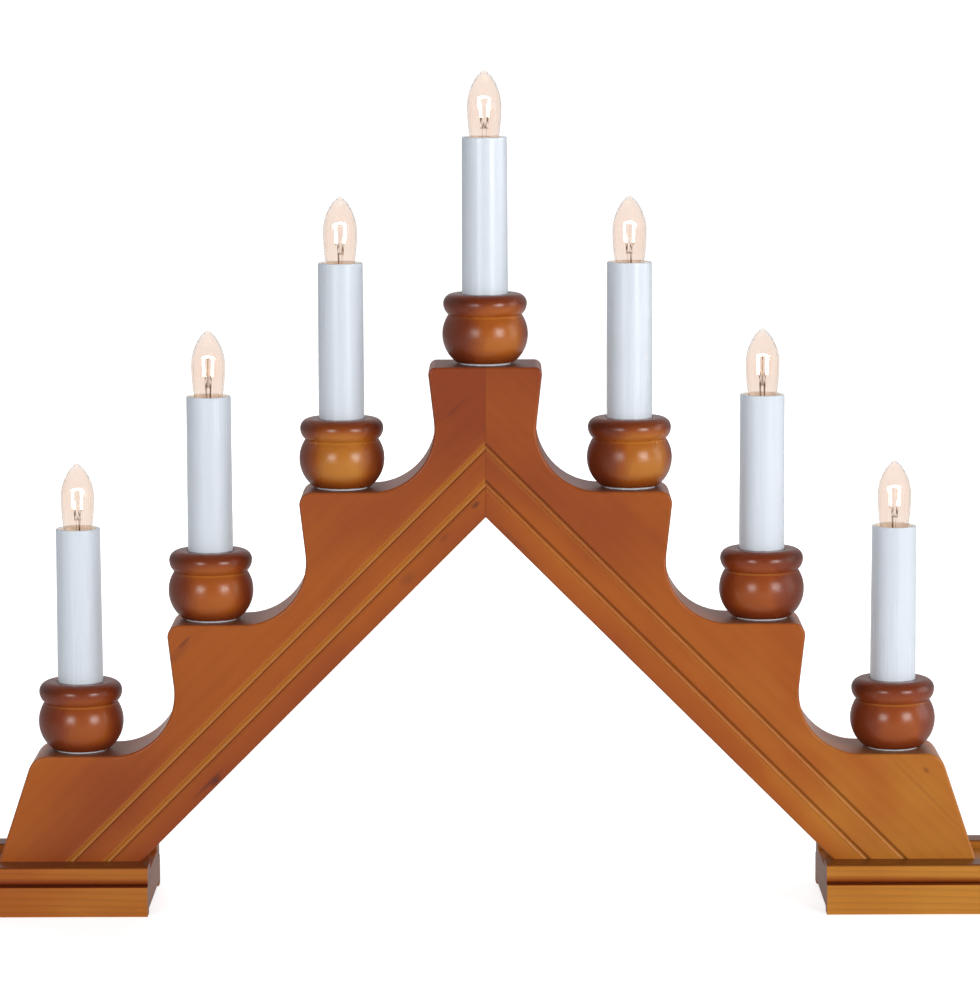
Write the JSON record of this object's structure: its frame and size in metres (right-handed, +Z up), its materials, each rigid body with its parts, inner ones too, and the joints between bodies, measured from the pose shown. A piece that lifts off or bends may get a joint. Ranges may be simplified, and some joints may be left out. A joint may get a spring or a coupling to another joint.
{
  "type": "electric candle arch",
  "caption": "Stepped wooden candle arch: two mitred arms on moulded bases carry turned cups, plastic candle tubes and small screw-in candle bulbs.",
  "frame": {"origin": "on the table, under the middle of the arch", "axes": "+X along the arch to the right, +Y from the front to the back, +Z up"},
  "size_m": [0.424, 0.062, 0.3435],
  "materials": {
    "arm_wood": "stained red-brown pine, satin varnish",
    "base_wood": "stained golden-brown pine, satin varnish",
    "cup_wood": "turned, stained, gloss varnish",
    "dowel_wood": "bare beech",
    "tube_plastic": "glossy white",
    "holder_plastic": "matt white",
    "wire_insulation": "white insulation",
    "bulb_glass": "clear, finely fluted",
    "nickel_brass": "rolled screw cap",
    "brass": "stamped",
    "filament": "glass stem, wire and lit filament",
    "solder": "solder",
    "zinc_steel": "zinc plated"
  },
  "bodies": {
    "arch": {"left_arm": "arm_wood", "right_arm": "arm_wood", "left_base": "base_wood", "right_base": "base_wood", "left_wiring": "wire_insulation", "right_wiring": "wire_insulation", "base_screws": "zinc_steel", "mitre_dowels": "dowel_wood", "holder_shells": "brass", "holder_contacts": "brass", "cup_1": "cup_wood", "cup_2": "cup_wood", "cup_3": "cup_wood", "cup_4": "cup_wood", "cup_5": "cup_wood", "cup_6": "cup_wood", "cup_7": "cup_wood", "candle_tube_1": "tube_plastic", "candle_tube_2": "tube_plastic", "candle_tube_3": "tube_plastic", "candle_tube_4": "tube_plastic", "candle_tube_5": "tube_plastic", "candle_tube_6": "tube_plastic", "candle_tube_7": "tube_plastic", "lamp_holder_1": "holder_plastic", "lamp_holder_2": "holder_plastic", "lamp_holder_3": "holder_plastic", "lamp_holder_4": "holder_plastic", "lamp_holder_5": "holder_plastic", "lamp_holder_6": "holder_plastic", "lamp_holder_7": "holder_plastic"},
    "bulb_1_lift": {"bulb_contact_1": "solder"},
    "bulb_1": {"bulb_glass_1": "bulb_glass", "bulb_cap_1": "nickel_brass", "bulb_filament_1": "filament"},
    "bulb_2_lift": {"bulb_contact_2": "solder"},
    "bulb_2": {"bulb_glass_2": "bulb_glass", "bulb_cap_2": "nickel_brass", "bulb_filament_2": "filament"},
    "bulb_3_lift": {"bulb_contact_3": "solder"},
    "bulb_3": {"bulb_glass_3": "bulb_glass", "bulb_cap_3": "nickel_brass", "bulb_filament_3": "filament"},
    "bulb_4_lift": {"bulb_contact_4": "solder"},
    "bulb_4": {"bulb_glass_4": "bulb_glass", "bulb_cap_4": "nickel_brass", "bulb_filament_4": "filament"},
    "bulb_5_lift": {"bulb_contact_5": "solder"},
    "bulb_5": {"bulb_glass_5": "bulb_glass", "bulb_cap_5": "nickel_brass", "bulb_filament_5": "filament"},
    "bulb_6_lift": {"bulb_contact_6": "solder"},
    "bulb_6": {"bulb_glass_6": "bulb_glass", "bulb_cap_6": "nickel_brass", "bulb_filament_6": "filament"},
    "bulb_7_lift": {"bulb_contact_7": "solder"},
    "bulb_7": {"bulb_glass_7": "bulb_glass", "bulb_cap_7": "nickel_brass", "bulb_filament_7": "filament"}
  },
  "joints": [
    {"name": "bulb_1_lift", "type": "slide", "parent": "arch", "child": "bulb_1_lift", "axis": [0, 0, 1], "range_m": [0, 0.00726]},
    {"name": "bulb_1_turn", "type": "hinge", "parent": "bulb_1_lift", "child": "bulb_1", "pos_m": [-0.168, 0, 0.1565], "axis": [0, 0, 1], "range_deg": [0, 1440]},
    {"name": "bulb_2_lift", "type": "slide", "parent": "arch", "child": "bulb_2_lift", "axis": [0, 0, 1], "range_m": [0, 0.00726]},
    {"name": "bulb_2_turn", "type": "hinge", "parent": "bulb_2_lift", "child": "bulb_2", "pos_m": [-0.1135, 0, 0.211], "axis": [0, 0, 1], "range_deg": [0, 1440]},
    {"name": "bulb_3_lift", "type": "slide", "parent": "arch", "child": "bulb_3_lift", "axis": [0, 0, 1], "range_m": [0, 0.00726]},
    {"name": "bulb_3_turn", "type": "hinge", "parent": "bulb_3_lift", "child": "bulb_3", "pos_m": [-0.059, 0, 0.2655], "axis": [0, 0, 1], "range_deg": [0, 1440]},
    {"name": "bulb_4_lift", "type": "slide", "parent": "arch", "child": "bulb_4_lift", "axis": [0, 0, 1], "range_m": [0, 0.00726]},
    {"name": "bulb_4_turn", "type": "hinge", "parent": "bulb_4_lift", "child": "bulb_4", "pos_m": [0, 0, 0.3165], "axis": [0, 0, 1], "range_deg": [0, 1440]},
    {"name": "bulb_5_lift", "type": "slide", "parent": "arch", "child": "bulb_5_lift", "axis": [0, 0, 1], "range_m": [0, 0.00726]},
    {"name": "bulb_5_turn", "type": "hinge", "parent": "bulb_5_lift", "child": "bulb_5", "pos_m": [0.059, 0, 0.2655], "axis": [0, 0, 1], "range_deg": [0, 1440]},
    {"name": "bulb_6_lift", "type": "slide", "parent": "arch", "child": "bulb_6_lift", "axis": [0, 0, 1], "range_m": [0, 0.00726]},
    {"name": "bulb_6_turn", "type": "hinge", "parent": "bulb_6_lift", "child": "bulb_6", "pos_m": [0.1135, 0, 0.211], "axis": [0, 0, 1], "range_deg": [0, 1440]},
    {"name": "bulb_7_lift", "type": "slide", "parent": "arch", "child": "bulb_7_lift", "axis": [0, 0, 1], "range_m": [0, 0.00726]},
    {"name": "bulb_7_turn", "type": "hinge", "parent": "bulb_7_lift", "child": "bulb_7", "pos_m": [0.168, 0, 0.1565], "axis": [0, 0, 1], "range_deg": [0, 1440]}
  ],
  "couplings": [
    {"joint": "bulb_1_lift", "follows": "bulb_1_turn", "m_per_rad": 0.00028871},
    {"joint": "bulb_2_lift", "follows": "bulb_2_turn", "m_per_rad": 0.00028871},
    {"joint": "bulb_3_lift", "follows": "bulb_3_turn", "m_per_rad": 0.00028871},
    {"joint": "bulb_4_lift", "follows": "bulb_4_turn", "m_per_rad": 0.00028871},
    {"joint": "bulb_5_lift", "follows": "bulb_5_turn", "m_per_rad": 0.00028871},
    {"joint": "bulb_6_lift", "follows": "bulb_6_turn", "m_per_rad": 0.00028871},
    {"joint": "bulb_7_lift", "follows": "bulb_7_turn", "m_per_rad": 0.00028871}
  ]
}
